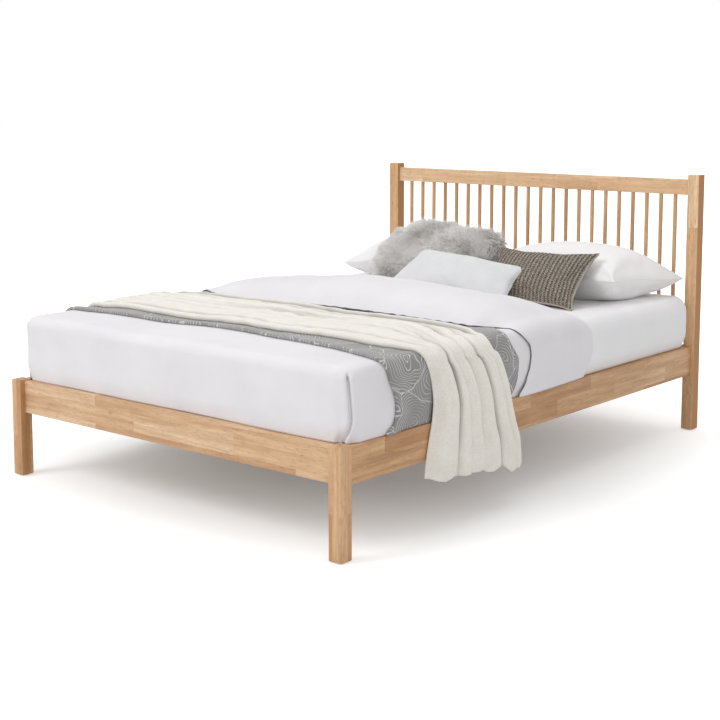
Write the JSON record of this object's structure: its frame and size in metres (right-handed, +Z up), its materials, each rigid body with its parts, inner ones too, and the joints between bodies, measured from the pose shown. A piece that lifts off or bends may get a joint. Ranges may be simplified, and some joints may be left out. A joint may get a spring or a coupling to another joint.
{
  "type": "spindle bed",
  "caption": "Double bed in light hardwood with a low foot rail, square posts and a headboard of upright round spindles, dressed with mattress, duvet, runner, throw, pillows and cushions.",
  "frame": {"origin": "on the floor, under the middle of the bed, half way between the outer faces of the foot posts and of the head posts", "axes": "+Z up, +Y from the foot to the headboard, +X to the right of someone standing at the foot and facing the headboard"},
  "size_m": [1.4706, 2.02, 0.945],
  "materials": {
    "post_wood": "satin clear lacquer on light hardwood",
    "rail_wood": "satin clear lacquer on finger-jointed light hardwood",
    "spindle_wood": "satin clear lacquer on turned light hardwood",
    "slat_wood": "planed softwood, unfinished",
    "dowel_wood": "fluted beech, unfinished",
    "zinc_steel": "zinc plated",
    "glide_plastic": "matt",
    "mattress_ticking": "woven ticking",
    "sheet_cotton": "smooth cotton",
    "duvet_cotton": "smooth cotton sateen with a fine dark piping",
    "runner_weave": null,
    "throw_fleece": "soft short fleece",
    "pillow_cotton": "smooth cotton",
    "cushion_fur": "long pile imitation fur",
    "cushion_pale": "brushed, with a very short nap",
    "cushion_knit": "chunky ribbed knit"
  },
  "bodies": {
    "root": {"bed_runner": "runner_weave", "centre_leg": "slat_wood", "centre_leg_pin": "zinc_steel", "centre_rail": "slat_wood", "centre_rail_hangers": "zinc_steel", "duvet": "duvet_cotton", "fitted_sheet": "sheet_cotton", "foot_post_left": "post_wood", "foot_post_right": "post_wood", "foot_rail": "rail_wood", "fur_cushion": "cushion_fur", "glides": "glide_plastic", "half_moon_washers": "zinc_steel", "hanger_screws": "zinc_steel", "head_post_left": "post_wood", "head_post_right": "post_wood", "headboard_lower_rail": "rail_wood", "headboard_top_rail": "rail_wood", "knit_cushion": "cushion_knit", "ledger_left": "slat_wood", "ledger_right": "slat_wood", "ledger_screws": "zinc_steel", "mattress": "mattress_ticking", "pale_cushion": "cushion_pale", "pillow_left": "pillow_cotton", "pillow_right": "pillow_cotton", "rail_dowels": "dowel_wood", "rail_nuts": "zinc_steel", "rail_studs": "zinc_steel", "side_rail_left": "rail_wood", "side_rail_right": "rail_wood", "slat_screws": "zinc_steel", "slats": "slat_wood", "spindle_01": "spindle_wood", "spindle_02": "spindle_wood", "spindle_03": "spindle_wood", "spindle_04": "spindle_wood", "spindle_05": "spindle_wood", "spindle_06": "spindle_wood", "spindle_07": "spindle_wood", "spindle_08": "spindle_wood", "spindle_09": "spindle_wood", "spindle_10": "spindle_wood", "spindle_11": "spindle_wood", "spindle_12": "spindle_wood", "spindle_13": "spindle_wood", "spindle_14": "spindle_wood", "spindle_15": "spindle_wood", "spindle_16": "spindle_wood", "spindle_17": "spindle_wood", "spindle_18": "spindle_wood", "spindle_19": "spindle_wood", "spindle_20": "spindle_wood", "spindle_21": "spindle_wood", "spindle_22": "spindle_wood", "throw": "throw_fleece"}
  },
  "joints": []
}
